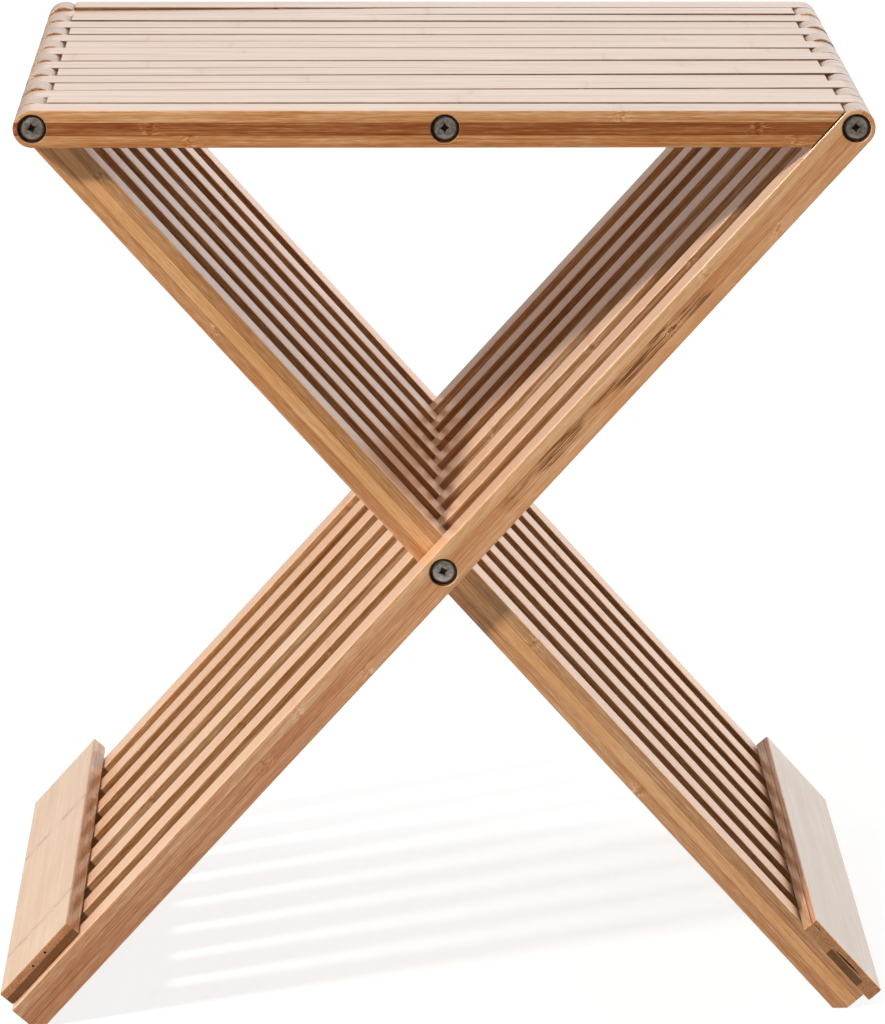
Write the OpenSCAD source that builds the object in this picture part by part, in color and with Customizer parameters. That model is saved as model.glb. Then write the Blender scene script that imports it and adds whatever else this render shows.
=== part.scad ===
// Folding slatted stool.
// Sixteen layers of laminated bamboo slats stand side by side from front to back.
// Odd layers hold a seat slat turning on the left rod and a leg hung from the right rod.
// Even layers hold the same pair turned half round, so each layer leans on its neighbours' rods.
// Four steel rods run from front to back: left, right, seat centre and leg crossing.
// The origin is on the floor, midway between the feet and midway from front to back.

/* [Frame] */
// Distance between the left and the right rod, centre to centre
rod_span = 384; // [340:1:400]
// Depth from the front of the stool to its back
stool_depth = 286; // [240:1:310]
// Distance along a leg from its top rod to the rod where the legs cross
leg_pivot = 289; // [270:1:320]
// Length of a leg from its top rod to its square-cut lower end
leg_length = 597; // [540:1:640]
// Height trimmed level off the lowest corner of each leg, so that it stands flat
foot_trim = 3.7; // [1:0.1:6]

/* [Slats] */
// Number of slats of each of the four kinds, from front to back
slats_per_kind = 8; // [4:1:8]
// Height of a slat's section, which is also the diameter of its round end
slat_h = 18; // [16.5:0.5:22]
// Running gap between neighbouring slats
slat_gap = 0.5; // [0.3:0.1:1.5]
// Bevel that eases the long edges of the slats and the foot boards
edge_bevel = 0.8; // [0.3:0.1:1.6]
// Gap between a seat slat's mitred end and the leg that stops it
stop_gap = 0.5; // [0.3:0.1:1.5]

/* [Foot boards] */
// Width of a foot board, measured along the legs
board_w = 51; // [35:1:80]
// Thickness of a foot board
board_t = 9; // [6:0.5:14]
// Distance from a foot board's lower edge to the square-cut end of the legs
board_rise = 0.5; // [0.2:0.1:10]
// Distance from the ends of a foot board to the front and back of the stool
board_inset = 5; // [2:0.5:12]
// Thickness of the glue between a foot board and the legs
glue_t = 0.05; // [0.05:0.05:0.3]

/* [Rods] */
// Diameter of the steel rods that the slats turn on
rod_d = 7; // [5:0.5:8]
// Radial running clearance of a slat on its rod
rod_clearance = 0.05; // [0.02:0.01:0.1]
// Depth of the threaded hole in each end of a rod
thread_depth = 11; // [9:0.5:12]

/* [Screws] */
// Diameter of the screw heads
head_d = 11.6; // [10:0.1:12.5]
// Diameter of the flat middle of a screw head, inside its sloping rim
head_flat_d = 9.6; // [8:0.1:9.8]
// Height of a screw head
head_h = 2.2; // [1.5:0.1:3]
// Height of the sloping rim of a screw head
head_slope = 0.8; // [0.3:0.1:1.2]
// Diameter of the screw shanks
shank_d = 4; // [3:0.5:4]
// Length of a screw's shank below its head
shank_l = 10; // [6:0.5:10]
// Distance across the tips of the cross-shaped recess in a screw head
cross_w = 4.8; // [3:0.1:6]
// Depth of the cross-shaped recess in a screw head
cross_depth = 1.4; // [0.6:0.1:1.4]

/* [Counterbores] */
// Diameter of the counterbores that sink the screw heads
counterbore_d = 13.4; // [13:0.1:14.5]
// Depth of the counterbores
counterbore_depth = 4; // [3:0.1:4.5]
// Bevel round the mouth of a counterbore
counterbore_bevel = 0.4; // [0.2:0.1:0.8]
// Gap between a screw head and the floor of its counterbore
head_gap = 0.3; // [0.1:0.05:0.5]

/* [Hidden] */
$fn = 64;
half_span = rod_span / 2;
pivot_drop = sqrt(leg_pivot * leg_pivot - half_span * half_span);
leg_angle = acos(half_span / leg_pivot);
seat_z = leg_length * sin(leg_angle) + slat_h / 2 * cos(leg_angle) - foot_trim;
cross_z = seat_z - pivot_drop;
layers = 2 * slats_per_kind;
layer_pitch = (stool_depth + slat_gap) / layers;
slat_t = layer_pitch - slat_gap;
front_y = -stool_depth / 2;
mitre_x = (slat_h / 2 * (1 + cos(leg_angle)) + stop_gap) / sin(leg_angle);
bore_d = rod_d + 2 * rod_clearance;
rod_end_gap = head_gap;
cut_over = 1;
cross_arm = cross_w / 5;

left_kinds = [for (i = [1 : slats_per_kind]) str("seat_left_", i)];
right_kinds = [for (i = [1 : slats_per_kind]) str("seat_right_", i)];
left_legs = [for (i = [1 : slats_per_kind]) str("leg_left_", i)];
right_legs = [for (i = [1 : slats_per_kind]) str("leg_right_", i)];
fittings = ["foot_board_left", "foot_board_right", "rod_left", "rod_right", "rod_cross",
    "rod_centre_left", "rod_centre_right", "screws_left", "screws_right", "screws_cross",
    "screw_centre_front", "screw_centre_back"];

// Front face of a layer, counted from 1 at the front
function layer_y(layer) = front_y + (layer - 1) * layer_pitch;

// Rectangle round the origin with its four corners bevelled
module bevelled_section(w, h, bevel) {
    polygon([
        [-w / 2 + bevel, -h / 2], [w / 2 - bevel, -h / 2],
        [w / 2, -h / 2 + bevel], [w / 2, h / 2 - bevel],
        [w / 2 - bevel, h / 2], [-w / 2 + bevel, h / 2],
        [-w / 2, h / 2 - bevel], [-w / 2, -h / 2 + bevel]
    ]);
}

// Half of a round slat end, on the -X side of its pivot
module round_end() {
    rotate([-90, 0, 0]) rotate([0, 0, 90]) rotate_extrude(angle = 180) polygon([
        [0, 0], [slat_h / 2 - edge_bevel, 0],
        [slat_h / 2, edge_bevel], [slat_h / 2, slat_t - edge_bevel],
        [slat_h / 2 - edge_bevel, slat_t], [0, slat_t]
    ]);
}

// Slat from its pivot at the origin along +X, with its front face at Y = 0
module slat(length) {
    union() {
        round_end();
        translate([0, slat_t / 2, 0]) rotate([90, 0, 90])
            linear_extrude(length) bevelled_section(slat_t, slat_h, edge_bevel);
    }
}

// Rod hole right through a slat, at a distance along it
module rod_hole(x) {
    translate([x, -cut_over, 0]) rotate([-90, 0, 0])
        cylinder(d = bore_d, h = slat_t + 2 * cut_over);
}

// Counterbore in the front face of a slat, at a distance along it
module counterbore(x) {
    translate([x, -cut_over, 0]) rotate([-90, 0, 0])
        cylinder(d = counterbore_d, h = counterbore_depth + cut_over);
    translate([x, 0, 0]) rotate([90, 0, 0]) cylinder(
        h = 2 * counterbore_bevel, center = true,
        d1 = counterbore_d, d2 = counterbore_d + 4 * counterbore_bevel);
}

// Seat slat of the front set, on the left rod, mitred to rest on the leg in its own layer
module front_seat_slat(i) {
    translate([-half_span, layer_y(2 * i - 1), seat_z]) difference() {
        slat(rod_span);
        translate([rod_span - mitre_x, -cut_over, -slat_h / 2]) rotate([0, 90 - leg_angle, 0])
            translate([0, 0, -slat_h]) cube([rod_span, slat_t + 2 * cut_over, 4 * slat_h]);
        rod_hole(0);
        rod_hole(half_span);
        if (i == 1) {
            counterbore(0);
            counterbore(half_span);
        }
    }
}

// Leg of the front set, from the right rod through the crossing down to the left foot
module front_leg(i) {
    difference() {
        translate([half_span, layer_y(2 * i - 1), seat_z]) rotate([0, 180 - leg_angle, 0])
            difference() {
                slat(leg_length);
                rod_hole(0);
                rod_hole(leg_pivot);
                if (i == 1) {
                    counterbore(0);
                    counterbore(leg_pivot);
                }
            }
        translate([-leg_length, -stool_depth, -slat_h])
            cube([2 * leg_length, 2 * stool_depth, slat_h]);
    }
}

// Foot board glued across the upper edges of the front set's legs, at the left foot
module front_foot_board() {
    translate([half_span, 0, seat_z]) rotate([0, 180 - leg_angle, 0])
        translate([leg_length - board_rise - board_w / 2, 0, -slat_h / 2 - glue_t - board_t / 2])
            rotate([90, 0, 0]) linear_extrude(stool_depth - 2 * board_inset, center = true)
                bevelled_section(board_w, board_t, edge_bevel);
}

// Steel rod from front to back with a threaded hole in each end, round the Y axis
module through_rod() {
    rod_l = stool_depth - 2 * (counterbore_depth + rod_end_gap);
    rotate([-90, 0, 0]) difference() {
        cylinder(d = rod_d, h = rod_l, center = true);
        for (side = [0, 180]) rotate([side, 0, 0]) translate([0, 0, rod_l / 2 - thread_depth])
            cylinder(d = shank_d + 2 * rod_clearance, h = thread_depth + cut_over);
    }
}

// Piece of the seat centre rod inside one layer, and its threaded hole in the front layer
module centre_rod_piece(layer) {
    start = layer == 1 ? counterbore_depth + rod_end_gap : 0;
    translate([0, layer_y(layer), seat_z]) rotate([-90, 0, 0]) difference() {
        translate([0, 0, start]) cylinder(d = rod_d, h = slat_t - start);
        if (layer == 1) translate([0, 0, start - cut_over])
            cylinder(d = shank_d + 2 * rod_clearance, h = thread_depth + cut_over);
    }
}

// Cross-recessed screw in the front of a rod on the Y axis, with its head in the counterbore
module front_screw() {
    translate([0, front_y + counterbore_depth - head_gap, 0]) rotate([90, 0, 0]) difference() {
        rotate_extrude() polygon([
            [0, -shank_l], [shank_d / 2, -shank_l], [shank_d / 2, 0], [head_d / 2, 0],
            [head_d / 2, head_h - head_slope], [head_flat_d / 2, head_h], [0, head_h]
        ]);
        translate([0, 0, head_h - cross_depth]) linear_extrude(cross_depth + cut_over) cross_recess();
    }
}

// Outline of the cross-shaped recess
module cross_recess() {
    square([cross_w, cross_arm], center = true);
    square([cross_arm, cross_w], center = true);
    circle(d = 2 * cross_arm, $fn = 32);
}

// Both screws of one rod, front and back
module screw_pair() {
    front_screw();
    rotate([0, 0, 180]) front_screw();
}

// What stands on the left at the front is repeated on the right at the back
module turned_half_round() {
    rotate([0, 0, 180]) children();
}

module seat_left(i) {
    color("burlywood") front_seat_slat(i);
}

module seat_right(i) {
    color("burlywood") turned_half_round() front_seat_slat(slats_per_kind + 1 - i);
}

module leg_right(i) {
    color("peru") front_leg(i);
}

module leg_left(i) {
    color("peru") turned_half_round() front_leg(slats_per_kind + 1 - i);
}

module foot_board_left() {
    color("wheat") front_foot_board();
}

module foot_board_right() {
    color("wheat") turned_half_round() front_foot_board();
}

module rod_left() {
    color("silver") translate([-half_span, 0, seat_z]) through_rod();
}

module rod_right() {
    color("silver") translate([half_span, 0, seat_z]) through_rod();
}

module rod_cross() {
    color("silver") translate([0, 0, cross_z]) through_rod();
}

module rod_centre_left() {
    color("silver") for (i = [1 : slats_per_kind]) centre_rod_piece(2 * i - 1);
}

module rod_centre_right() {
    color("silver") turned_half_round()
        for (i = [1 : slats_per_kind]) centre_rod_piece(2 * i - 1);
}

module screws_left() {
    color("dimgray") translate([-half_span, 0, seat_z]) screw_pair();
}

module screws_right() {
    color("dimgray") translate([half_span, 0, seat_z]) screw_pair();
}

module screws_cross() {
    color("dimgray") translate([0, 0, cross_z]) screw_pair();
}

module screw_centre_front() {
    color("dimgray") translate([0, 0, seat_z]) front_screw();
}

module screw_centre_back() {
    color("dimgray") translate([0, 0, seat_z]) turned_half_round() front_screw();
}

for (i = [1 : slats_per_kind]) {
    seat_left(i);
    seat_right(i);
    leg_left(i);
    leg_right(i);
}
foot_board_left();
foot_board_right();
rod_left();
rod_right();
rod_cross();
rod_centre_left();
rod_centre_right();
screws_left();
screws_right();
screws_cross();
screw_centre_front();
screw_centre_back();
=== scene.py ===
import math
import random

import bmesh
import bpy
from mathutils import Matrix, Vector
from mathutils.geometry import tessellate_polygon


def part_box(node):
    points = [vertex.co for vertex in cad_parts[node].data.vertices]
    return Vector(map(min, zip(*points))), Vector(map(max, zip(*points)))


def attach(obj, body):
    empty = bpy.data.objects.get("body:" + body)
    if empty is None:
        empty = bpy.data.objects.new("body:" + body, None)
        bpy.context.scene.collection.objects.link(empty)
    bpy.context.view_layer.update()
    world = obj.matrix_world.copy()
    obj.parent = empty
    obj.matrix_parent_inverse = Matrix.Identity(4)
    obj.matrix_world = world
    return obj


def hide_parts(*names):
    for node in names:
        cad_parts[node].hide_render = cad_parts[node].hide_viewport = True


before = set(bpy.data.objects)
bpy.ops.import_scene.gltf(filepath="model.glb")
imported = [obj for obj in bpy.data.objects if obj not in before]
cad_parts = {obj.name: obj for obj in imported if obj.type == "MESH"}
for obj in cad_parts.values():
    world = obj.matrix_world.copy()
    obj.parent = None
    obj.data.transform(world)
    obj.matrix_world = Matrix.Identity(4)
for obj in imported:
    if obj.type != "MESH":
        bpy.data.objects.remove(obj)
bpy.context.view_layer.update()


# The camera stands 2.3 m in front of the stool and 0.43 m above its seat, and looks down on it
# through a long lens, as for a catalogue picture of a small piece of furniture.
CAMERA_PLACE = (-0.0476, -2.2790, 0.8890)
SENSOR_WIDTH, FOCAL_LENGTH = 36, 164.27
CAMERA_PITCH, CAMERA_TURN, CAMERA_TILT = (math.radians(a) for a in (16.337, 1.263, 0.208))

camera = bpy.data.objects.new("camera", bpy.data.cameras.new("camera"))
bpy.context.scene.collection.objects.link(camera)
camera.data.sensor_width = SENSOR_WIDTH
camera.data.lens = FOCAL_LENGTH
camera.matrix_world = (
    Matrix.Translation(CAMERA_PLACE)
    @ Matrix.Rotation(-CAMERA_TURN, 4, "Z")
    @ Matrix.Rotation(math.pi / 2 - CAMERA_PITCH, 4, "X")
    @ Matrix.Rotation(CAMERA_TILT, 4, "Z")
)
bpy.context.scene.camera = camera
bpy.context.scene.view_settings.view_transform = "Standard"


# The stool stands on the white paper of a photographer's table, which ends in front of it.
# A small warm lamp at the left front throws the shadows. Wide ones at both sides and above,
# and a low card in front, soften them, and a pale tent all round gives the rest.
FLOOR_SIZE = 14.0
FLOOR_FRONT = -0.75
FLOOR_DROP = 0.0004
PAPER_LIT, PAPER_SEEN = (0.52, 0.52, 0.52, 1), (0.28, 0.30, 0.32, 1)
# How far from the stool the paper's own glow begins and ends to rise, and the glow at both.
PAPER_GLOW = (0.4, 2.0, 0.82, 0.94)
PAPER_IN_GLOSS = 0.4
TENT_LIGHT = (0.115, 0.094, 0.07, 1)
TENT_SEEN = (1, 1, 1, 1)
# Which way the tent is mirrored as white, and how squarely a ray has to go there.
TENT_WHITE_WAY, TENT_WHITE_FROM = (1.0, 0.45, 0.8), (0.05, 0.6)
LOOKED_AT = Vector((0, 0, 0.25))


def ramp(tree, value, low, high, at_low, at_high):
    """Straight rise from one level to another between two values."""
    made = tree.nodes.new("ShaderNodeMapRange")
    for socket, number in zip(made.inputs[1:5], (low, high, at_low, at_high)):
        socket.default_value = number
    tree.links.new(value, made.inputs["Value"])
    return made.outputs[0]


def picture_rays(tree, mirrored):
    """One where a ray comes from the camera, mirrored for a reflected one, else nought."""
    path = tree.nodes.new("ShaderNodeLightPath")
    glossy, either = (tree.nodes.new("ShaderNodeMath") for _ in range(2))
    glossy.operation, either.operation = "MULTIPLY", "MAXIMUM"
    tree.links.new(path.outputs["Is Glossy Ray"], glossy.inputs[0])
    if isinstance(mirrored, float):
        glossy.inputs[1].default_value = mirrored
    else:
        tree.links.new(mirrored, glossy.inputs[1])
    tree.links.new(path.outputs["Is Camera Ray"], either.inputs[0])
    tree.links.new(glossy.outputs[0], either.inputs[1])
    return either.outputs[0]


def paper():
    """White paper that looks white to the camera and still shows where the stool shades it."""
    made = bpy.data.materials.new("paper")
    made.use_nodes = True
    tree = made.node_tree
    tree.nodes.clear()
    matt, shown, glow, both, choice = (
        tree.nodes.new(f"ShaderNode{kind}")
        for kind in ("BsdfDiffuse", "BsdfDiffuse", "Emission", "AddShader", "MixShader")
    )
    matt.inputs["Color"].default_value = PAPER_LIT
    shown.inputs["Color"].default_value = PAPER_SEEN
    far_off = tree.nodes.new("ShaderNodeVectorMath")
    far_off.operation = "LENGTH"
    tree.links.new(tree.nodes.new("ShaderNodeTexCoord").outputs["Object"], far_off.inputs[0])
    tree.links.new(ramp(tree, far_off.outputs["Value"], *PAPER_GLOW), glow.inputs["Strength"])
    tree.links.new(shown.outputs[0], both.inputs[0])
    tree.links.new(glow.outputs[0], both.inputs[1])
    tree.links.new(picture_rays(tree, PAPER_IN_GLOSS), choice.inputs[0])
    tree.links.new(matt.outputs[0], choice.inputs[1])
    tree.links.new(both.outputs[0], choice.inputs[2])
    out = tree.nodes.new("ShaderNodeOutputMaterial")
    tree.links.new(choice.outputs[0], out.inputs[0])
    return made


def white_tent():
    """World light of one plain level, seen as white, and mirrored as white from the right."""
    world = bpy.data.worlds.new("tent")
    world.use_nodes = True
    tree = world.node_tree
    lean = tree.nodes.new("ShaderNodeVectorMath")
    lean.operation = "DOT_PRODUCT"
    lean.inputs[1].default_value = TENT_WHITE_WAY
    tree.links.new(tree.nodes.new("ShaderNodeTexCoord").outputs["Generated"], lean.inputs[0])
    share = ramp(tree, lean.outputs["Value"], *TENT_WHITE_FROM, 0.0, 1.0)
    seen = tree.nodes.new("ShaderNodeMix")
    seen.data_type = "RGBA"
    seen.inputs[6].default_value = TENT_LIGHT
    seen.inputs[7].default_value = TENT_SEEN
    tree.links.new(picture_rays(tree, share), seen.inputs[0])
    tree.links.new(seen.outputs[2], tree.nodes["Background"].inputs["Color"])
    bpy.context.scene.world = world


def lamp(name, towards, distance, size, level, colour, shines=True):
    """Square lamp; level is the share of its own brightness that a white card facing it shows.

    One that doesn't shine is never seen in a glossy surface, as through a polariser."""
    light = bpy.data.lights.new(name, "AREA")
    light.size = size
    light.energy = level * (math.pi * distance) ** 2
    light.color = colour
    made = bpy.data.objects.new(name, light)
    bpy.context.scene.collection.objects.link(made)
    direction = Vector(towards).normalized()
    made.location = LOOKED_AT + direction * distance
    made.rotation_mode = "QUATERNION"
    made.rotation_quaternion = direction.to_track_quat("Z", "Y")
    made.visible_glossy = shines


floor_mesh = bpy.data.meshes.new("floor")
half_floor = FLOOR_SIZE / 2
floor_mesh.from_pydata(
    [(-half_floor, FLOOR_FRONT, -FLOOR_DROP), (half_floor, FLOOR_FRONT, -FLOOR_DROP),
     (half_floor, half_floor, -FLOOR_DROP), (-half_floor, half_floor, -FLOOR_DROP)],
    [], [(0, 1, 2, 3)])
floor_mesh.materials.append(paper())
floor = bpy.data.objects.new("floor", floor_mesh)
bpy.context.scene.collection.objects.link(floor)
white_tent()
lamp("shadow_lamp", (-1.25, -1.0, 1.14), 3.2, 0.28, 0.92, (1.0, 0.88, 0.74))
lamp("left_lamp", (-1.0, 0.15, 0.20), 3.0, 1.6, 0.36, (1.0, 0.87, 0.72), shines=False)
lamp("right_lamp", (1.0, 0.25, 0.20), 3.0, 1.6, 0.90, (1.0, 0.965, 0.93), shines=False)
lamp("top_lamp", (0.1, 0.1, 1.0), 3.0, 1.5, 0.20, (0.92, 0.97, 1.0))
lamp("low_card", (-0.15, -1.0, -0.08), 3.2, 1.4, 0.10, (1.0, 0.97, 0.93), shines=False)


# Seat slats. Each is a batten glued up of three bamboo strips, 18 mm high and about as thick,
# planed, eased along its arrises and lacquered. One end is turned round about its rod, and the
# other is mitred to lie on the leg in its own layer. The outermost ones are counterbored.
LEFT_ROD, RIGHT_ROD, CROSS_ROD = (
    sum(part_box(node), Vector()) / 2 for node in ("rod_left", "rod_right", "rod_cross")
)
SPAN = RIGHT_ROD.x - LEFT_ROD.x
LEG_ANGLE = math.atan2(RIGHT_ROD.z - CROSS_ROD.z, RIGHT_ROD.x)
LEG_PIVOT = math.hypot(RIGHT_ROD.z - CROSS_ROD.z, RIGHT_ROD.x)
SLATS_PER_KIND = 8
SLAT_RADIUS = (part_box("seat_left_1")[1].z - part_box("seat_left_1")[0].z) / 2
SLAT_HALF = (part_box("seat_left_1")[1].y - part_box("seat_left_1")[0].y) / 2
ARRIS = 0.0006
MITRE_GAP = 0.0005
BORE_RADIUS = 0.00355
COUNTERBORE_RADIUS, COUNTERBORE_DEPTH, COUNTERBORE_RIM = 0.0067, 0.004, 0.0004
CORNER_STEPS, ROUND_END_STEPS, ARRIS_STEPS, HOLE_STEPS = 5, 30, 3, 40
EDGE_PIECE = 0.03
SAME_PLACE = 1e-7
BOARD_SHARP = 40


def rim_of(edges, ease, round_end):
    """Points round a board whose arris begins `ease` inside its rim, each with the way outwards.

    An edge is (angle of its outward normal, distance from the origin), in degrees and metres.
    With a round end, the outline closes about the origin."""
    def facing(angle):
        return Vector((math.cos(math.radians(angle)), math.sin(math.radians(angle))))

    def corner(first, second):
        rows = Matrix((facing(first[0]), facing(second[0])))
        return rows.inverted() @ Vector((first[1] - ease, second[1] - ease))

    following = edges[1:] + ([] if round_end else edges[:1])
    turns = [(corner(a, b), 0, a[0], b[0] + (360 if b[0] < a[0] else 0), CORNER_STEPS)
             for a, b in zip(edges, following)]
    if round_end:
        turns.append((Vector((0, 0)), edges[0][1] - ease, 90, 270, ROUND_END_STEPS))
    rim = []
    for turn, after in zip(turns, turns[1:] + turns[:1]):
        centre, radius, start, end, steps = turn
        for k in range(steps + 1):
            way = facing(start + (end - start) * k / steps)
            rim.append((centre + way * radius, way))
        here = rim[-1][0]
        there = after[0] + facing(after[2]) * after[1]
        pieces = max(1, round((there - here).length / EDGE_PIECE))
        rim += [(here.lerp(there, k / pieces), way) for k in range(1, pieces)]
    return rim


def solid_from(name, points, faces, sharp, depths=None):
    """Closed mesh as an object, shaded smooth where it bends by less than `sharp` degrees.

    depths, one for each point, is written into the mesh for its finish."""
    mesh = bpy.data.meshes.new(name)
    mesh.from_pydata(points, [], faces)
    if depths:
        mesh.attributes.new("depth", "FLOAT", "POINT").data.foreach_set("value", depths)
    solid = bmesh.new()
    solid.from_mesh(mesh)
    bmesh.ops.remove_doubles(solid, verts=solid.verts, dist=SAME_PLACE)
    bmesh.ops.recalc_face_normals(solid, faces=solid.faces)
    solid.to_mesh(mesh)
    solid.free()
    mesh.polygons.foreach_set("use_smooth", [True] * len(mesh.polygons))
    mesh.set_sharp_from_angle(angle=math.radians(sharp))
    made = bpy.data.objects.new(name, mesh)
    bpy.context.scene.collection.objects.link(made)
    return made


def filled(points, loops):
    """Triangles between an outline and the holes in it, each a list of places in `points`."""
    order = [index for loop in loops for index in loop]
    flat = [[Vector((points[i][0], points[i][2], 0)) for i in loop] for loop in loops]
    return [tuple(order[i] for i in triangle) for triangle in tessellate_polygon(flat)]


def board(name, edges, half_depth, ease=ARRIS, holes=(), round_end=False, bow=0.0,
          top=1, planed=(0.0, 0.0), slant=0.0):
    """Solid board with its outline in X and Z and its thickness along Y, all arrises rounded.

    A hole is (x, z, turn, wide, high, rings): an ellipse, and how far it shrinks at which depth
    from the -Y face. It goes right through if it has rings at both faces. The board bows by
    `bow` along Y, and `planed` is missing on its top side, +Z or -Z, at evenly spaced places.
    `slant` is how far the end leans, in X for each unit of Z, so that planing keeps its slope."""
    rim = rim_of(edges, ease, round_end)
    quarter = [math.pi / 2 * k / ARRIS_STEPS for k in range(ARRIS_STEPS + 1)]
    rings = [(-half_depth + ease * (1 - math.cos(a)), ease * math.sin(a)) for a in quarter]
    rings += [(-y, out) for y, out in reversed(rings)]
    points, faces = [], []
    count = len(rim)
    for y, out in rings:
        points += [(p.x + way.x * out, y, p.y + way.y * out) for p, way in rim]
    for r in range(len(rings) - 1):
        for k in range(count):
            after = (k + 1) % count
            faces.append((r * count + k, r * count + after,
                          (r + 1) * count + after, (r + 1) * count + k))

    openings = {0.0: [], 2 * half_depth: []}
    for x, z, turn, wide, high, levels in holes:
        start = len(points)
        for shrink, depth in levels:
            for k in range(HOLE_STEPS):
                a = math.tau * k / HOLE_STEPS
                across, up = wide * shrink * math.cos(a), high * shrink * math.sin(a)
                points.append((x + across * math.cos(turn) - up * math.sin(turn),
                               depth - half_depth,
                               z + across * math.sin(turn) + up * math.cos(turn)))
        for r in range(len(levels) - 1):
            near, far = start + r * HOLE_STEPS, start + (r + 1) * HOLE_STEPS
            for k in range(HOLE_STEPS):
                after = (k + 1) % HOLE_STEPS
                faces.append((near + k, near + after, far + after, far + k))
        last = start + (len(levels) - 1) * HOLE_STEPS
        openings[levels[0][1]].append(list(range(start, start + HOLE_STEPS)))
        if levels[-1][1] in openings:
            openings[levels[-1][1]].append(list(range(last, last + HOLE_STEPS)))
        else:
            faces.append(tuple(range(last, last + HOLE_STEPS)))

    length = max(p[0] for p in points)
    high = max(p[2] * top for p in points)
    for k, (x, y, z) in enumerate(points):
        along = max(0.0, x) / length
        before = min(int(along * (len(planed) - 1)), len(planed) - 2)
        share = along * (len(planed) - 1) - before
        missing = planed[before] + (planed[before + 1] - planed[before]) * share
        if z * top > 0 and k < len(rings) * count:
            x -= z * missing / high * slant * along
            z *= 1 - missing / high
        points[k] = (x, y + bow * math.sin(math.pi * along), z)

    for first, gaps in zip((0, (len(rings) - 1) * count), openings.values()):
        outer = [first + k for k in range(count)
                 if (rim[k][0] - rim[k - 1][0]).length > SAME_PLACE]
        faces += filled(points, [outer] + gaps)
    made = solid_from(name, points, faces, BOARD_SHARP)
    made.modifiers.new("even_shading", "WEIGHTED_NORMAL").keep_sharp = True
    return made


class Finish:
    """A material in the making. Each call adds one shader node and gives its output."""

    def __init__(self, name):
        self.material = bpy.data.materials.new(name)
        self.material.use_nodes = True
        self.tree = self.material.node_tree
        self.surface = self.tree.nodes["Principled BSDF"]

    def node(self, kind, *values, **settings):
        made = self.tree.nodes.new(f"ShaderNode{kind}")
        for key, value in settings.items():
            setattr(made, key, value)
        for socket, value in zip(made.inputs, values):
            self.put(socket, value)
        return made

    def put(self, socket, value):
        if isinstance(value, bpy.types.NodeSocket):
            self.tree.links.new(value, socket)
        elif value is not None:
            socket.default_value = value

    def sum(self, operation, *values):
        return self.node("Math", *values, operation=operation).outputs[0]

    def stretch(self, vector, by):
        return self.node("VectorMath", vector, by, operation="MULTIPLY").outputs[0]

    def split(self, vector):
        return self.node("SeparateXYZ", vector).outputs[:]

    def join(self, x, y, z):
        return self.node("CombineXYZ", x, y, z).outputs[0]

    def step(self, value, low, high):
        """Nought below low and one above high, with a smooth rise between."""
        made = self.node("MapRange", value, low, high, interpolation_type="SMOOTHSTEP")
        return made.outputs[0]

    def beside(self, value, low, high):
        """One below low and nought above high."""
        return self.sum("SUBTRACT", 1.0, self.step(value, low, high))

    def mix(self, share, first, second):
        made = self.node("Mix", data_type="RGBA")
        for socket, value in zip((made.inputs[0], made.inputs[6], made.inputs[7]),
                                 (share, first, second)):
            self.put(socket, value)
        return made.outputs[2]

    def noise(self, vector, detail=2.0, roughness=0.55):
        made = self.node("TexNoise", vector)
        made.inputs["Scale"].default_value = 1.0
        made.inputs["Detail"].default_value = detail
        made.inputs["Roughness"].default_value = roughness
        return made.outputs["Fac"]

    def chance(self, number):
        """A steady random share for each number."""
        made = self.node("TexWhiteNoise", noise_dimensions="1D")
        self.put(made.inputs["W"], number)
        return made.outputs["Value"]

    def relief(self, height, depth, strength):
        made = self.node("Bump")
        made.inputs["Strength"].default_value = strength
        made.inputs["Distance"].default_value = depth
        self.put(made.inputs["Height"], height)
        self.put(self.surface.inputs["Normal"], made.outputs[0])


# The bamboo's patterns: waves to a metre along the fibres, across and up, then the detail and the
# roughness of the noise.
PATTERNS = {
    "fine": ((20, 1150, 1150), 3, 0.65),
    "streak": ((7, 400, 400), 2, 0.55),
    "cloud": ((16, 60, 60), 2, 0.55),
    "fibre": ((130, 2000, 2000), 2, 0.55),
    "ragged": ((160, 420, 420), 2, 0.55),
    "swerve": ((60, 60, 60), 3, 0.7),
    "broken": ((110, 110, 110), 2, 0.55),
    "curl": ((420, 520, 520), 2, 0.55),
    "scribble": ((300, 1400, 1400), 2, 0.55),
    "weathered": ((9, 260, 260), 3, 0.7),
    "blotch": ((26, 150, 150), 2, 0.55),
    "threads": ((38, 1300, 1300), 3, 0.6),
}
# Between which two levels the peaks of a pattern come out as spots.
PEAKS = {
    "broken": (0.36, 0.56), "scribble": (0.42, 0.60), "weathered": (0.46, 0.70),
    "blotch": (0.44, 0.56), "threads": (0.43, 0.56),
}
# How much a pattern darkens the broad sides and the edges, and what streaks adds on the edges.
GRAIN_WEIGHTS = {
    "fine": (0.5, 0.1, 1.5), "streak": (0.45, 0.1, 0.7), "cloud": (0.5, 0.5, 0.0),
    "fibre": (0.3, 1.0, 0.0),
}
EDGE_LUCK = 0.36
PORE_WAVES, PORE_SIZE = (8, 650, 650), (0.12, 0.45)
TOOL_WAVES_ALONG, TOOL_WAVES_ACROSS, TOOL_PEAKS = 30.0, 1500.0, (0.52, 0.70)
STRIPS = 3
PLANK_STRIPS_TO_A_METRE = 42.0
# How far a pattern is shifted from slat to slat, strip to strip and plank strip to plank strip,
# and how much of that shift goes across the fibres.
OWN_SLAT, OWN_STRIP, OWN_PLANK_STRIP, OWN_ACROSS = 7.13, 1.71, 3.3, 0.31
# Knuckles, in metres: how far they reach, how wide their line is, and how much it wanders.
NEAR_KNUCKLE, SLAT_KNUCKLE, BOARD_KNUCKLE = (0.001, 0.008), (0.0002, 0.0016), (0.0003, 0.0030)
RAGGED_BY, SWERVE_BY, CURL_BY = 0.007, 0.022, 0.005
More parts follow.
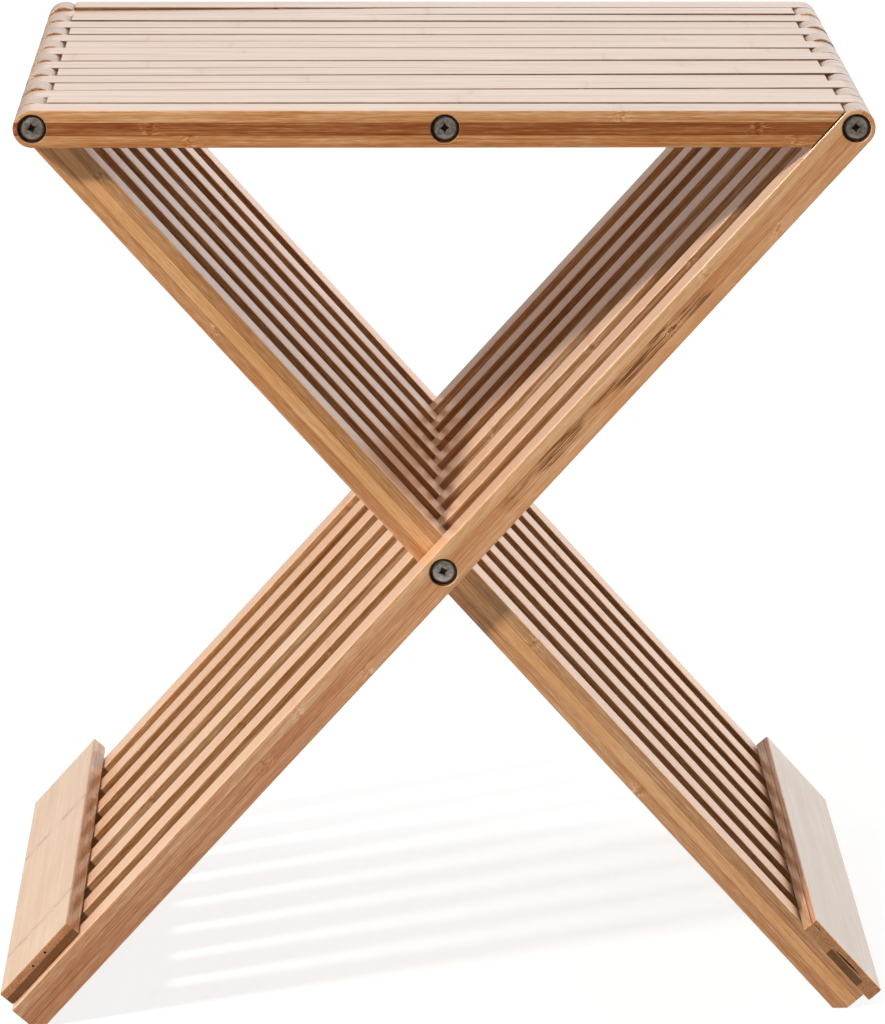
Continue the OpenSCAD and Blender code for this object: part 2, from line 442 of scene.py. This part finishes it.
# How squarely a surface has to face its way to be an edge, a broad side, an end or the back.
EDGE_FROM, FACE_FROM, END_FROM, BACK_FROM = (0.45, 0.80), (0.93, 0.995), (0.60, 0.85), (0.05, 0.30)
TURNED_BEFORE, TURNED_FACING = (-0.003, 0.001), (0.15, 0.50)
SLAT_GLUE, BOARD_GLUE = (0.00006, 0.00028), (0.00012, 0.00048)
# Half of the middle of a board, up and across, in shares of its thickness, within which the walls
# of the nail holes and cracks in its ends are painted near-black as painted shade.
HOLE_SHADE_UP, HOLE_SHADE_ACROSS = 0.4, 2.5
STAIN_FADE = 0.01
TURNED_TONE = (0.56, 0.415, 0.335, 1)
GREY_TONE = (0.44, 0.37, 0.34, 1)
# The tones for the knuckles, the darker cut ends and the stains are the bamboo's own; those for the
# nail holes and cracks and for the counterbores are painted shade.
DARK_TONES = {
    "knuckle": (0.34, 0.22, 0.14, 1), "painted_hole_shade": (0.02, 0.01, 0.005, 1),
    "dark_end": (0.10, 0.042, 0.014, 1), "sunk": (0.045, 0.018, 0.008, 1),
    "stain": (0.14, 0.055, 0.018, 1),
}
WOOD_ROUGHNESS, LACQUER_ROUGHNESS, LACQUER_SPECULAR = 0.48, 0.26, 0.15
GRAIN_DEPTH, GRAIN_STRENGTH = 0.0003, 0.35


class Bamboo(Finish):
    """Bamboo glued up of three strips, one above the other along Z.

    x, y and z run along the fibres, across them and up. The fibres of a slat run along its X,
    and those of a foot board along its Y."""

    def __init__(self, name, stack, slat):
        super().__init__(name)
        self.slat, self.stack = slat, stack
        outputs = self.node("TexCoord").outputs
        self.place = outputs["Object"]
        self.x, self.y, self.z = self.split(self.place)
        normal = self.split(outputs["Normal"])
        self.backwards = normal[1]
        self.facing_x, self.facing_y, self.facing_z = (self.sum("ABSOLUTE", a) for a in normal)
        if not slat:
            self.x, self.y = self.y, self.x
            self.facing_x, self.facing_y = self.facing_y, self.facing_x
        number = self.node("Attribute", attribute_name="slat").outputs["Fac"]
        layer = self.sum("FLOOR", self.sum("MULTIPLY_ADD", self.z, STRIPS / stack, STRIPS / 2))
        strip = self.sum("MINIMUM", self.sum("MAXIMUM", layer, 0.0), STRIPS - 1.0)
        plank = self.sum("FLOOR", self.sum("MULTIPLY_ADD", self.y, PLANK_STRIPS_TO_A_METRE, 0.5))
        own = self.sum("MULTIPLY_ADD", number, OWN_SLAT, self.sum("MULTIPLY", strip, OWN_STRIP))
        self.own = self.sum("MULTIPLY_ADD", plank, OWN_PLANK_STRIP, own)
        self.luck = self.chance(self.own)
        self.middle, self.last = (self.sum("COMPARE", strip, k, 0.1) for k in (1.0, 2.0))

    def product(self, first, *others):
        for other in others:
            first = self.sum("MULTIPLY", first, other)
        return first

    def rest(self, share):
        """What a share leaves of one."""
        return self.sum("SUBTRACT", 1.0, share)

    def add_up(self, total, shares):
        """The total and each value times its weight."""
        for value, weight in shares:
            total = self.sum("MULTIPLY_ADD", value, weight, total)
        return total

    def pattern(self, name, vector):
        waves, detail, roughness = PATTERNS[name]
        return self.noise(self.stretch(vector, waves), detail, roughness)

    def peaks(self, name, vector):
        return self.step(self.pattern(name, vector), *PEAKS[name])

    def sway(self, name, by):
        """A pattern as a distance to either side."""
        return self.sum("MULTIPLY_ADD", self.pattern(name, self.place), by, -by / 2)

    def find_knuckles(self, places, spacing):
        """The strips' own joints: a swelling with a ragged line across the fibres."""
        if places:
            where = self.sum("MULTIPLY_ADD", self.middle, places[1] - places[0], places[0])
            where = self.sum("MULTIPLY_ADD", self.last, places[2] - places[0], where)
        else:
            where = self.sum("MULTIPLY", self.luck, spacing)
        turns = self.sum("MULTIPLY_ADD", self.sum("SUBTRACT", self.x, where), 1 / spacing, 0.5)
        off = self.sum("MULTIPLY_ADD", self.sum("FRACT", turns), spacing, -spacing / 2)
        off = self.sum("ADD", off, self.sway("ragged", RAGGED_BY))
        if not self.slat:
            off = self.sum("ADD", off, self.sway("swerve", SWERVE_BY))
        away = self.sum("ABSOLUTE", off)
        self.near = self.beside(away, *NEAR_KNUCKLE)
        if self.slat:
            self.knuckle = self.beside(away, *SLAT_KNUCKLE)
        else:
            self.knuckle = self.product(self.beside(away, *BOARD_KNUCKLE),
                                        self.peaks("broken", self.place))

    def find_sides(self, face_from):
        """Tells the strips' edges, their broad sides, the cut ends and a round end apart."""
        self.on_edge = self.step(self.facing_y, *EDGE_FROM)
        self.on_face = self.step(self.facing_z, *face_from)
        self.on_end = self.step(self.facing_x, *END_FROM)
        if self.slat:
            self.turned = self.product(self.beside(self.x, *TURNED_BEFORE),
                                       self.beside(self.facing_y, *TURNED_FACING))
            self.on_face = self.sum("MAXIMUM", self.on_face, self.turned)
            self.on_end = self.product(self.on_end, self.rest(self.turned))

    def find_grain(self):
        """The place in the wood itself, which curls near a knuckle and is each strip's own."""
        self.grain = self.join(
            self.sum("ADD", self.x, self.own),
            self.sum("MULTIPLY_ADD", self.own, OWN_ACROSS, self.y),
            self.sum("ADD", self.z, self.product(self.near, self.sway("curl", CURL_BY))))

    def glue_lines(self):
        away = self.sum("SUBTRACT", self.sum("ABSOLUTE", self.z), self.stack / STRIPS / 2)
        away = self.sum("ABSOLUTE", away)
        if self.slat:
            lines = self.beside(away, *SLAT_GLUE)
        else:
            lines = self.product(self.beside(away, *BOARD_GLUE),
                                 self.sum("LESS_THAN", self.z, 0.0))
        return self.product(lines, self.rest(self.sum("MAXIMUM", self.on_face, self.on_end)))

    def inside_of(self, start, end, fade):
        """One along a stretch of the wood, and nought beyond it."""
        away = self.sum("ABSOLUTE", self.sum("SUBTRACT", self.x, (start + end) / 2))
        return self.beside(away, (end - start) / 2 - fade, (end - start) / 2)


def bamboo(name, face, sides, end, stack=2 * SLAT_RADIUS, slat=True, knuckles=None,
           spacing=0.26, patches=None, seams=0.45, dark_end=None, streaks=1.0, shaded_inner=None,
           shade_to_foot=None, second_bore=None, uneven=0.12, greyed=0.0, face_from=FACE_FROM):
    """Lacquered bamboo, glued up of three strips one above the other along Z.

    face is the colour of the strips' broad sides, sides those of their edges from -Z to +Z, and
    end that of the cut ends. knuckles are the places of the strips' own joints along the fibres,
    patches the stretch of the middle strip that is stained, seams the darkness of the glue
    lines, dark_end a stretch across the cut ends whose +Z half is darker, streaks the strength
    of the fibres' own pattern, shaded_inner a darker colour for the side that faces +Y, towards
    the other slats, as painted shade between the layers, and shade_to_foot a darker colour that
    the sides fade to between two places, (start, end, colour), as painted shade towards the
    leg's lower end.
    second_bore is where a counterbored slat's other rod lies; the insides of the counterbores
    about both rods are painted near-black there as painted shade. uneven is how much the broad
    sides differ from slat to slat, greyed the strength of the grey streaks on them, and face_from
    how squarely the surface has to face up or down to count as one of them."""
    f = Bamboo(name, stack, slat)
    f.find_knuckles(knuckles, spacing)
    f.find_sides(face_from)
    f.find_grain()
    grain = {pattern: f.pattern(pattern, f.grain) for pattern in GRAIN_WEIGHTS}

    tone = f.mix(f.middle, (*sides[0], 1), (*sides[1], 1))
    tone = f.mix(f.last, tone, (*sides[2], 1))
    # Painted shade: the sides fade to a darker colour between two places along the fibres, towards
    # the leg's lower end.
    if shade_to_foot:
        tone = f.mix(f.step(f.x, shade_to_foot[0], shade_to_foot[1]), tone, (*shade_to_foot[2], 1))
    # Painted shade: the side that faces +Y, towards the other slats, takes a darker colour.
    if shaded_inner:
        tone = f.mix(f.step(f.backwards, *BACK_FROM), tone, (*shaded_inner, 1))
    tone = f.mix(f.on_face, tone, (*face, 1))
    if slat:
        tone = f.mix(f.turned, tone, TURNED_TONE)
    tone = f.mix(f.on_end, tone, (*end, 1))

    glue = f.glue_lines()
    pores = f.node("TexVoronoi", f.stretch(f.grain, PORE_WAVES)).outputs["Distance"]
    pores = f.product(f.beside(pores, *PORE_SIZE), f.on_end)
    scribble = f.product(f.near, f.on_edge, f.peaks("scribble", f.place))
    weights = [(grain[pattern], on_broad, on_edge + added * streaks)
               for pattern, (on_broad, on_edge, added) in GRAIN_WEIGHTS.items()]
    depth = 1.0
    for value, on_broad, on_edge in weights + [(f.luck, uneven, EDGE_LUCK)]:
        weight = f.sum("MULTIPLY_ADD", f.on_edge, on_edge - on_broad, on_broad)
        depth = f.sum("MULTIPLY_ADD", f.sum("SUBTRACT", 0.5, value), weight, depth)
    depth = f.add_up(depth, ((f.near, 0.10), (scribble, -0.42), (glue, seams)))
    if slat:
        tool = f.join(f.sum("MULTIPLY", f.x, TOOL_WAVES_ALONG),
                      f.sum("MULTIPLY", f.y, TOOL_WAVES_ACROSS), f.own)
        tool = f.product(f.step(f.noise(tool, 1), *TOOL_PEAKS), f.turned)
        depth = f.add_up(depth, ((f.knuckle, 0.22), (pores, 0.8), (tool, 0.9)))
    else:
        depth = f.add_up(depth, ((pores, 2.8),))
    colour = f.node("Gamma", tone, depth).outputs[0]

    if not slat:
        # Painted shade: the walls of the nail holes and cracks in the ends are painted near-black.
        painted_hole_shade = f.product(f.sum("LESS_THAN", f.sum("ABSOLUTE", f.z), stack * HOLE_SHADE_UP),
                           f.sum("LESS_THAN", f.sum("ABSOLUTE", f.y), stack * HOLE_SHADE_ACROSS),
                           f.rest(f.on_end))
        colour = f.mix(f.product(f.knuckle, 0.5), colour, DARK_TONES["knuckle"])
        colour = f.mix(painted_hole_shade, colour, DARK_TONES["painted_hole_shade"])
    if dark_end:
        dark = f.product(f.sum("COMPARE", f.y, sum(dark_end) / 2, (dark_end[1] - dark_end[0]) / 2),
                         f.sum("GREATER_THAN", f.z, 0.0), f.on_end)
        colour = f.mix(f.product(dark, 0.8), colour, DARK_TONES["dark_end"])
    if greyed:
        weathered = f.product(f.peaks("weathered", f.grain), f.on_face, greyed)
        colour = f.mix(weathered, colour, GREY_TONE)
    # Painted shade: the insides of the counterbores, and of the bores within their width, are
    # painted near-black.
    if second_bore:
        around = [f.node("VectorMath", f.join(f.sum("SUBTRACT", f.x, at), 0.0, f.z),
                         operation="LENGTH").outputs["Value"] for at in (0.0, second_bore)]
        sunk = f.beside(f.sum("MINIMUM", *around), COUNTERBORE_RADIUS,
                        COUNTERBORE_RADIUS + COUNTERBORE_RIM / 2)
        colour = f.mix(f.product(sunk, 0.8), colour, DARK_TONES["sunk"])
    if patches:
        stain = f.product(f.peaks("blotch", f.grain), f.peaks("threads", f.grain),
                          f.inside_of(*patches, STAIN_FADE), f.middle)
        colour = f.mix(f.product(stain, 0.9), colour, DARK_TONES["stain"])
    f.put(f.surface.inputs["Base Color"], colour)

    f.put(f.surface.inputs["Roughness"],
          f.add_up(WOOD_ROUGHNESS, ((grain["fine"], -0.14), (f.on_end, 0.15))))
    f.put(f.surface.inputs["Coat Weight"], f.add_up(1.0, ((f.on_end, -0.8),)))
    f.surface.inputs["Specular IOR Level"].default_value = LACQUER_SPECULAR
    f.surface.inputs["Coat Roughness"].default_value = LACQUER_ROUGHNESS
    height = f.add_up(f.product(grain["streak"], 0.5),
                      ((grain["fine"], 0.35), (glue, -0.5), (f.near, 0.5), (pores, -0.5)))
    f.relief(height, GRAIN_DEPTH, GRAIN_STRENGTH)
    return f.material


def number_slat(piece, number):
    """Writes the slat's number into its mesh, where the bamboo reads it for a figure of its own."""
    own = piece.data.attributes.new("slat", "FLOAT", "POINT")
    own.data.foreach_set("value", [float(number)] * len(piece.data.vertices))


def middle_of(node):
    """The depth that a slat's layer lies at."""
    low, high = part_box(node)
    return (low.y + high.y) / 2


def fit_piece(piece, node, body):
    """Lets a piece stand for a CAD node, which it hides, and move with its body."""
    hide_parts(node)
    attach(piece, body)


def bored(places, outermost):
    """Rod holes through a slat, with counterbores in the outermost ones."""
    through = 2 * SLAT_HALF
    plain = [(1, 0.0), (1, through)]
    wide = COUNTERBORE_RADIUS / BORE_RADIUS
    sunk = [(wide + COUNTERBORE_RIM / BORE_RADIUS, 0.0), (wide, COUNTERBORE_RIM),
            (wide, COUNTERBORE_DEPTH), (1, COUNTERBORE_DEPTH), (1, through)]
    return [(x, 0, 0, BORE_RADIUS, BORE_RADIUS, sunk if outermost else plain) for x in places]


SEAT_FACE = (0.73, 0.54, 0.44)
SEAT_END = (0.40, 0.24, 0.13)
# Darker colour for the outermost seat slats' sides that face the other slats: painted shade of the
# gaps between the layers.
SEAT_INNER_SHADE = (0.23, 0.115, 0.052)
seat_front = bamboo("seat_front", SEAT_FACE,
                    ((0.55, 0.27, 0.11), (0.38, 0.15, 0.05), (0.59, 0.295, 0.125)), SEAT_END,
                    knuckles=(0.073, 0.055, 0.274), spacing=0.283, shaded_inner=SEAT_INNER_SHADE,
                    second_bore=SPAN / 2, greyed=0.55)
# The inner seat slats' sides face each other across narrow gaps and are painted nearly black-brown,
# as painted shade of the gaps; on their arrises this shows as dark lines across the seat top.
seat_bamboo = bamboo("seat_bamboo", SEAT_FACE,
                     ((0.13, 0.060, 0.026), (0.11, 0.05, 0.022), (0.14, 0.065, 0.028)), SEAT_END,
                     greyed=0.55)
seat_edges = [(-90, SLAT_RADIUS),
              (math.degrees(LEG_ANGLE) - 90, SPAN * math.sin(LEG_ANGLE) - SLAT_RADIUS - MITRE_GAP),
              (90, SLAT_RADIUS)]
HALF_TURN = Matrix.Rotation(math.pi, 4, "Z")
MOST_BOW = 0.00012
# How far each slat's top lies below the highest, from its rod to its mitre, in millimetres.
SEAT_DROPS = {
    "left": ((0.30, 0.50), (1.10, 0.50), (1.00, 0.70), (0.85, 0.60),
             (0.70, 1.40), (0.95, 1.30), (0.65, 1.10), (1.60, 0.25, 0.05)),
    "right": ((0.05, 0.00), (0.05, 1.15), (0.05, 0.95), (0.05, 0.70),
              (1.05, 0.95), (1.00, 0.70), (0.75, 0.10), (0.05, 0.00)),
}
wobble = random.Random(17)

for side, rod, turn in (("left", LEFT_ROD, Matrix()), ("right", RIGHT_ROD, HALF_TURN)):
    for i in range(1, SLATS_PER_KIND + 1):
        node = f"seat_{side}_{i}"
        outermost = node in ("seat_left_1", f"seat_right_{SLATS_PER_KIND}")
        planed = [drop / 1000 for drop in SEAT_DROPS[side][i - 1]]
        piece = board(f"{node}_slat", seat_edges, SLAT_HALF, round_end=True,
                      holes=bored((0, SPAN / 2), outermost),
                      bow=0 if outermost else wobble.uniform(-MOST_BOW, MOST_BOW),
                      planed=planed, slant=1 / math.tan(LEG_ANGLE))
        piece.data.materials.append(seat_front if outermost else seat_bamboo)
        number_slat(piece, i + (0 if side == "left" else SLATS_PER_KIND))
        place = Matrix.Translation((rod.x, middle_of(node), rod.z))
        piece.matrix_world = place @ turn
        fit_piece(piece, node, f"seat_on_{side}_rod")


# Legs. They are battens like those of the seat, but longer: from the round top on a rod, through
# the crossing rod, down to a square-cut foot with its lowest corner taken off level.
# Each is made lying along X from its rod, with its upper side at -Z.
LEG_LENGTH = ((RIGHT_ROD.x - SLAT_RADIUS * math.sin(LEG_ANGLE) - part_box("leg_right_1")[0].x)
              / math.cos(LEG_ANGLE))
LEG_FACE = (0.82, 0.545, 0.38)
# Darker colour for the outermost legs' sides that face the other slats: painted shade between the
# layers.
LEG_INNER_SHADE = (0.36, 0.185, 0.085)
LEG_ARRIS = 0.0008
LEG_END = (0.36, 0.20, 0.10)
LEG_FACE_FROM = (0.45, 0.80)
MOST_LEG_DROP = 0.0004
FIRST_LEG_NUMBER = 20
# The front leg's sides are painted darker towards its lower end, as painted shade.
front_leg = bamboo("front_leg", LEG_FACE,
                   ((0.71, 0.42, 0.225), (0.66, 0.365, 0.19), (0.72, 0.42, 0.235)), LEG_END,
                   knuckles=(0.388, 0.128, 0.06), spacing=0.29, patches=(0.09, 0.25),
                   streaks=0.6, shaded_inner=LEG_INNER_SHADE, shade_to_foot=(0.18, 0.53, (0.49, 0.245, 0.128)),
                   second_bore=LEG_PIVOT, face_from=LEG_FACE_FROM)
back_leg = bamboo("back_leg", LEG_FACE,
                  ((0.66, 0.38, 0.19), (0.62, 0.33, 0.16), (0.58, 0.30, 0.135)), LEG_END,
                  knuckles=(0.31, 0.17, 0.42), spacing=0.27, streaks=0.7, shaded_inner=LEG_INNER_SHADE,
                  second_bore=LEG_PIVOT, face_from=LEG_FACE_FROM)
second_leg = bamboo("second_leg", LEG_FACE,
                    ((0.46, 0.24, 0.105), (0.70, 0.41, 0.20), (0.54, 0.27, 0.12)), LEG_END,
                    knuckles=(0.35, 0.29, 0.441), spacing=0.31, streaks=0.65, uneven=0.4,
                    face_from=LEG_FACE_FROM)
leg_bamboo = bamboo("leg_bamboo", LEG_FACE,
                    ((0.40, 0.215, 0.10), (0.35, 0.175, 0.08), (0.385, 0.20, 0.092)), LEG_END,
                    uneven=0.4, face_from=LEG_FACE_FROM)
leg_edges = [(-90, SLAT_RADIUS), (0, LEG_LENGTH), (90 - math.degrees(LEG_ANGLE), RIGHT_ROD.z),
             (90, SLAT_RADIUS)]
DOWN_THE_LEG = Matrix.Rotation(math.pi - LEG_ANGLE, 4, "Y")
OWN_FINISH = {"leg_right_1": front_leg, "leg_left_1": second_leg, "leg_left_8": back_leg,
              "leg_right_8": second_leg}

for side, rod, turn in (("right", RIGHT_ROD, Matrix()), ("left", LEFT_ROD, HALF_TURN)):
    for i in range(1, SLATS_PER_KIND + 1):
        node = f"leg_{side}_{i}"
        outermost = node in ("leg_right_1", f"leg_left_{SLATS_PER_KIND}")
        planed = (wobble.uniform(0.0, MOST_LEG_DROP), wobble.uniform(0.0, MOST_LEG_DROP))
        piece = board(f"{node}_slat", leg_edges, SLAT_HALF, ease=LEG_ARRIS, round_end=True,
                      holes=bored((0, LEG_PIVOT), outermost),
                      bow=0 if outermost else wobble.uniform(-MOST_BOW, MOST_BOW),
                      top=-1, planed=(0, 0) if outermost else planed)
        piece.data.materials.append(OWN_FINISH.get(node, leg_bamboo))
        number_slat(piece, FIRST_LEG_NUMBER + i + (0 if side == "right" else SLATS_PER_KIND))
        place = Matrix.Translation((rod.x, middle_of(node), rod.z))
        piece.matrix_world = place @ turn @ DOWN_THE_LEG
        fit_piece(piece, node, f"legs_on_{side}_rod")


# Foot boards. One 9 mm bamboo board is glued and nailed across the lower ends of each side's
# legs. Its fibres run from front to back, and its ends show the plies, open pores and cracks.
BOARD_FACE = (0.72, 0.54, 0.41)
BOARD_END = (0.50, 0.275, 0.145)
BOARD_ARRIS = 0.0008
BOARD_BODY = {"left": "legs_on_right_rod", "right": "legs_on_left_rod"}
BOARD_NUMBER = {"left": 50, "right": 53}
NAIL_HOLES = ((-0.0064, -0.0018), (0.0028, -0.0016))
NAIL_HOLE_RADIUS, NAIL_HOLE_DEPTH = 0.0006, 0.006
CRACKS = ((0.0025, -0.0010, 0.0085, 0.00038), (-0.0215, -0.0019, 0.0026, 0.00020))
CRACK_DEPTH, CRACK_SLOPE = 0.005, -0.035

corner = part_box("foot_board_left")[1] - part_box("foot_board_left")[0]
cosine, sine = math.cos(LEG_ANGLE), math.sin(LEG_ANGLE)
board_width = (corner.x * cosine - corner.z * sine) / (cosine ** 2 - sine ** 2)
board_thickness = (corner.z * cosine - corner.x * sine) / (cosine ** 2 - sine ** 2)
board_edges = [(-90, board_thickness / 2), (0, board_width / 2), (90, board_thickness / 2),
               (180, board_width / 2)]
half_board = corner.y / 2
end_marks = {
    "left": [(x, z, 0, NAIL_HOLE_RADIUS, NAIL_HOLE_RADIUS, [(1, 0.0), (0.9, NAIL_HOLE_DEPTH)])
             for x, z in NAIL_HOLES],
    "right": [(x, z, CRACK_SLOPE, wide, high,
               [(1, corner.y), (0.5, corner.y - CRACK_DEPTH)]) for x, z, wide, high in CRACKS],
}
BOARD_SIDES = ((0.56, 0.31, 0.16), (0.54, 0.29, 0.14), (0.50, 0.27, 0.125))
board_finish = {
    "left": bamboo("board_left", BOARD_FACE, BOARD_SIDES, BOARD_END, stack=board_thickness,
                   slat=False, knuckles=(0.048, 0.048, 0.048), spacing=0.138, seams=0.1,
                   dark_end=(-0.04, 0.04)),
    # The right board's face is paler and cooler than the left's: partly a board of its own tone,
    # partly painted light standing in for the cooler light and sheen on that side.
    "right": bamboo("board_right", (0.67, 0.575, 0.51), BOARD_SIDES, BOARD_END,
                    stack=board_thickness, slat=False, knuckles=(0.3, 0.3, 0.3),
                    spacing=0.7, seams=1.3, dark_end=(-0.0083, 0.0152)),
}

for side, turn in (("left", Matrix()), ("right", HALF_TURN)):
    node = f"foot_board_{side}"
    piece = board(f"{node}_plank", board_edges, half_board, ease=BOARD_ARRIS,
                  holes=end_marks[side])
    piece.data.materials.append(board_finish[side])
    number_slat(piece, BOARD_NUMBER[side])
    centre = sum(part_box(node), Vector()) / 2
    piece.matrix_world = Matrix.Translation(centre) @ turn @ DOWN_THE_LEG
    fit_piece(piece, node, BOARD_BODY[side])


# Rods. Drawn mild steel, 7 mm thick and zinc plated, tapped at each end for the screws.
# They show only in the gaps between the slats, so they keep their plain shape.
ROD_COLOUR = (0.62, 0.61, 0.60, 1)
ROD_ROUGHNESS = 0.25
DRAWN_WAVES, SPOT_WAVES = (2600, 40, 2600), (160, 60, 160)


def drawn_steel():
    """Drawn and plated steel with fine lines along Y."""
    f = Finish("rod_steel")
    place = f.node("TexCoord").outputs["Object"]
    lines = f.noise(f.stretch(place, DRAWN_WAVES), 3, 0.6)
    spots = f.noise(f.stretch(place, SPOT_WAVES), 3, 0.6)
    shade = f.sum("MULTIPLY_ADD", lines, 0.5, f.sum("MULTIPLY_ADD", spots, 0.7, 0.4))
    f.put(f.surface.inputs["Base Color"], f.node("Gamma", ROD_COLOUR, shade).outputs[0])
    f.surface.inputs["Metallic"].default_value = 1.0
    f.put(f.surface.inputs["Roughness"], f.sum("MULTIPLY_ADD", spots, 0.25, ROD_ROUGHNESS))
    f.relief(lines, 0.0001, 0.25)
    return f.material


rod_steel = drawn_steel()
for node in ("rod_left", "rod_right", "rod_cross", "rod_centre_left", "rod_centre_right"):
    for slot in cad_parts[node].material_slots:
        slot.material = rod_steel


# Screws. Flat-topped machine screws of blackened steel with a four-pointed recess are driven
# into the rods' ends. Their heads lie just under the face of the outermost slats.
HEAD_PROFILE = ((0.00478, 0.0), (0.00494, 0.00008), (0.00566, 0.00066), (0.00578, 0.00086),
                (0.00580, 0.0012), (0.00580, 0.0020), (0.00565, 0.0022))
SHANK_RADIUS, SHANK_END = 0.0020, 0.0122
STAR_TIP, STAR_BLUNT, STAR_SHARPNESS = 0.00315, 0.00280, 3
STAR_LEVELS = ((1.0, 0.0), (0.96, 0.00012), (0.82, 0.0006), (0.45, 0.0015))
HEAD_STEPS = 48
SCREW_SHARP = 35
BACK_SCREW_TURN = 40
RING_WAVES, MOTTLE_WAVES = 5200.0, (900, 900, 900)
HEAD_DARK, HEAD_LIGHT = (0.36, 0.35, 0.34, 1), (0.58, 0.56, 0.54, 1)
# The rim's lighter colour, rubbed wear and a painted highlight together, and the black that is
# painted deep in the recess as painted shade; then where that black lies and where the rim lies.
RIM_WEAR_AND_HIGHLIGHT, RECESS_SHADE = (0.66, 0.62, 0.57, 1), (0.008, 0.006, 0.005, 1)
RECESS_SHADE_RADIUS, RECESS_SHADE_DEPTH = (0.0030, 0.0033), (0.0001, 0.0009)
RIM_START, RIM_END = (0.0047, 0.0050), (0.0054, 0.0058)


def screw(name, heads):
    """Screws in one mesh. Each head is (x, y, z of its top, the way it faces, its turn)."""
    points, faces, depths = [], [], []

    def ring(outline, depth, head):
        x, y, z, way, turn = head
        start = len(points)
        for across, up in outline:
            points.append((x + across * math.cos(turn) - up * math.sin(turn), y - way * depth,
                           z + across * math.sin(turn) + up * math.cos(turn)))
            depths.append(depth)
        return list(range(start, len(points)))

    def join_rings(rings):
        for first, second in zip(rings, rings[1:]):
            for k in range(len(first)):
                faces.append((first[k - 1], first[k], second[k], second[k - 1]))

    circle = [(math.cos(math.tau * k / HEAD_STEPS), math.sin(math.tau * k / HEAD_STEPS))
              for k in range(HEAD_STEPS)]
    star = [tuple(max(-STAR_BLUNT, min(STAR_BLUNT, STAR_TIP * a ** STAR_SHARPNESS)) for a in point)
            for point in circle]
    for head in heads:
        body = [ring([(c * radius, s * radius) for c, s in circle], depth, head)
                for radius, depth in HEAD_PROFILE + ((SHANK_RADIUS, HEAD_PROFILE[-1][1]),
                                                     (SHANK_RADIUS, SHANK_END))]
        join_rings(body)
        faces.append(tuple(body[-1]))
        recess = [ring([(a * share, b * share) for a, b in star], depth, head)
                  for share, depth in STAR_LEVELS]
        join_rings(recess)
        faces.append(tuple(recess[-1]))
        faces += filled(points, [body[0], recess[0]])
    return solid_from(name, points, faces, SCREW_SHARP, depths)


def blackened_steel():
    """Turned heads with fine rings, lighter on the rim as rubbed wear and a painted highlight, and
    painted black deep in the recess as painted shade.
    """
    f = Finish("blackened_steel")
    place = f.node("TexCoord").outputs["Object"]
    x, y, z = f.split(place)
    radius = f.node("VectorMath", f.join(x, 0.0, z), operation="LENGTH").outputs["Value"]
    rings = f.noise(f.join(f.sum("MULTIPLY", radius, RING_WAVES), 0.0, 0.0), 2)
    mottle = f.noise(f.stretch(place, MOTTLE_WAVES), 3, 0.6)
    sunk = f.node("Attribute", attribute_name="depth").outputs["Fac"]
    # Painted shade: deep in the recess the heads are painted black and not metallic.
    recess_shade = f.sum("MULTIPLY", f.beside(radius, *RECESS_SHADE_RADIUS), f.step(sunk, *RECESS_SHADE_DEPTH))
    # The rim is painted lighter: rubbed wear and a painted highlight of the bevel.
    rim = f.sum("MULTIPLY", f.step(radius, *RIM_START), f.beside(radius, *RIM_END))
    colour = f.mix(f.step(mottle, 0.35, 0.7), HEAD_DARK, HEAD_LIGHT)
    colour = f.mix(f.sum("MULTIPLY", rim, 0.5), colour, RIM_WEAR_AND_HIGHLIGHT)
    colour = f.mix(recess_shade, colour, RECESS_SHADE)
    f.put(f.surface.inputs["Base Color"], colour)
    f.put(f.surface.inputs["Metallic"], f.sum("MULTIPLY_ADD", recess_shade, -0.9, 0.9))
    f.put(f.surface.inputs["Roughness"], f.sum("MULTIPLY_ADD", mottle, 0.3, 0.22))
    f.relief(f.sum("MULTIPLY_ADD", rings, 0.6, mottle), 0.0001, 0.4)
    return f.material


# How far each screw was turned when it was driven home, in degrees.
SCREW_TURNS = {"screws_left": 14, "screw_centre_front": 3, "screws_right": 5, "screws_cross": 21,
               "screw_centre_back": 33}
SCREW_BODIES = {"screws_left": "legs_on_left_rod", "screws_right": "legs_on_right_rod",
                "screws_cross": "legs_on_left_rod", "screw_centre_front": "seat_on_left_rod",
                "screw_centre_back": "seat_on_right_rod"}
screw_steel = blackened_steel()
for node, degrees in SCREW_TURNS.items():
    low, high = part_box(node)
    axis = (low + high) / 2
    heads = []
    if node != "screw_centre_back":
        heads.append((0, low.y - axis.y, 0, -1, math.radians(degrees)))
    if node != "screw_centre_front":
        heads.append((0, high.y - axis.y, 0, 1, math.radians(degrees + BACK_SCREW_TURN)))
    piece = screw(f"{node}_heads", heads)
    piece.data.materials.append(screw_steel)
    piece.matrix_world = Matrix.Translation(axis)
    fit_piece(piece, node, SCREW_BODIES[node])
